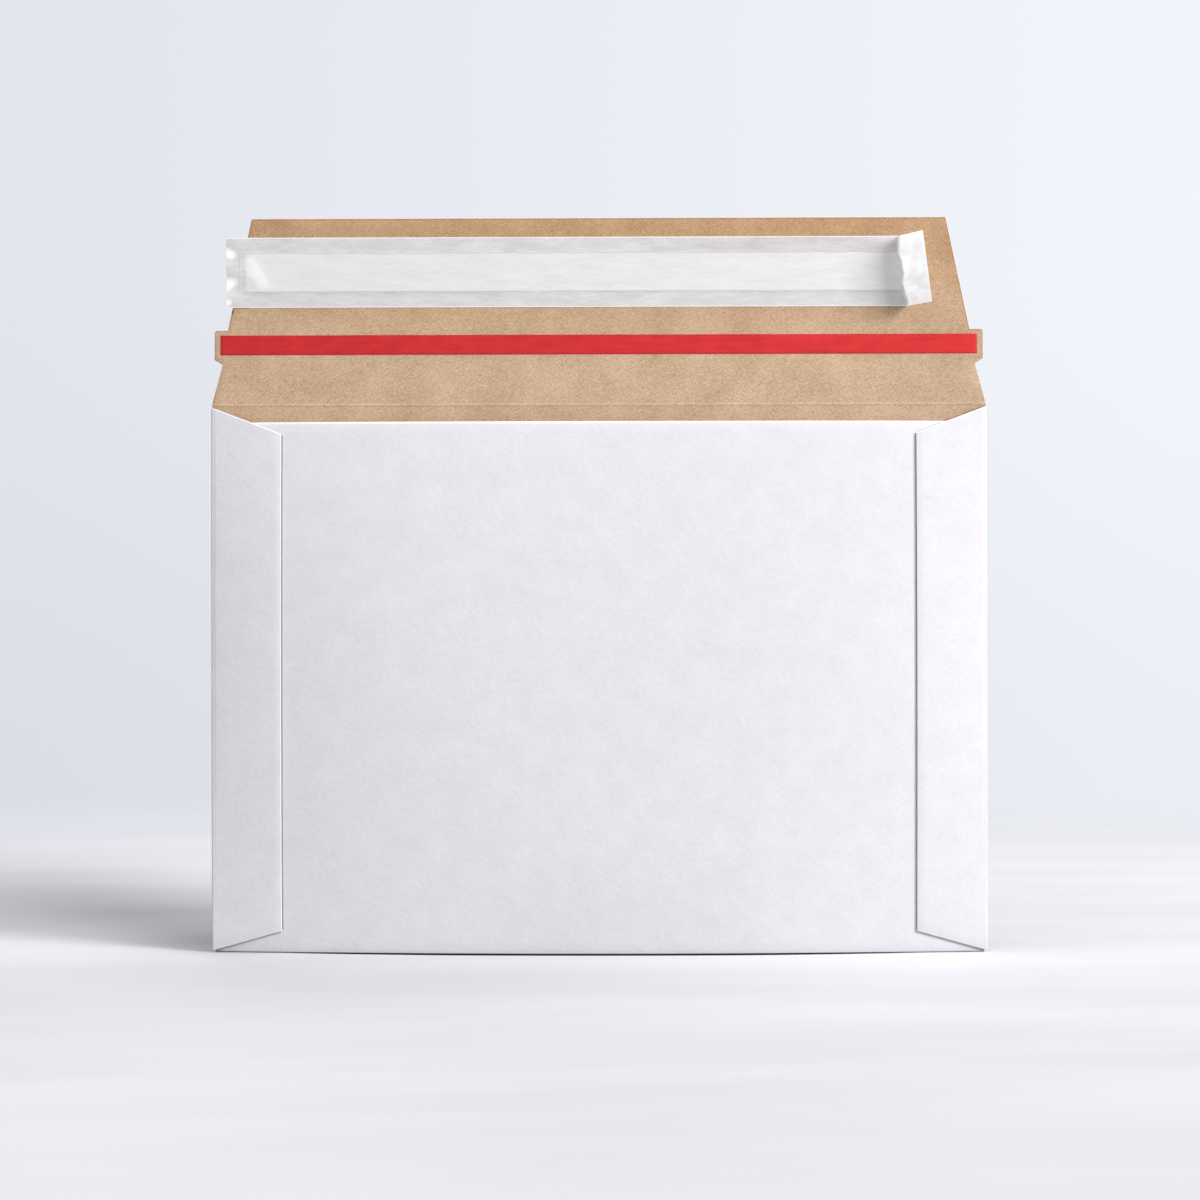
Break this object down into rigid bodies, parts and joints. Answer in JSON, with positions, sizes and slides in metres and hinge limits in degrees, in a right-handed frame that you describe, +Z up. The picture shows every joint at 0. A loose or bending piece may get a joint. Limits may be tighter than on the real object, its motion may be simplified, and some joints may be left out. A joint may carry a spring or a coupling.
{
  "type": "calendar envelope",
  "caption": "Flat board mailer standing open: bowed pocket with glued side flaps, closure flap with tear tape, adhesive strip and release liner.",
  "frame": {"origin": "middle of the foot that the envelope stands on, under the middle of its box", "axes": "+X to the right along the crease, +Y backwards from front panel to back panel, +Z up from the foot fold to the flap's edge"},
  "size_m": [0.334, 0.0198, 0.3166],
  "materials": {
    "board": "solid board, matt white lining outside, brown kraft inside",
    "seam_glue": "dried glue line",
    "adhesive": "clear tacky adhesive",
    "liner": "smooth coated release paper",
    "tape": "thin red film"
  },
  "bodies": {
    "pocket": {"board_pocket": "board", "glue_seam_left": "seam_glue", "glue_seam_right": "seam_glue"},
    "flap": {"closure_flap": "board", "tear_tape": "tape", "adhesive_strip": "adhesive", "release_liner": "liner"}
  },
  "joints": [
    {"name": "flap_hinge", "type": "hinge", "parent": "pocket", "child": "flap", "pos_m": [0, 0.00369, 0.2358], "axis": [1, 0, 0], "range_deg": [0, 155]}
  ]
}
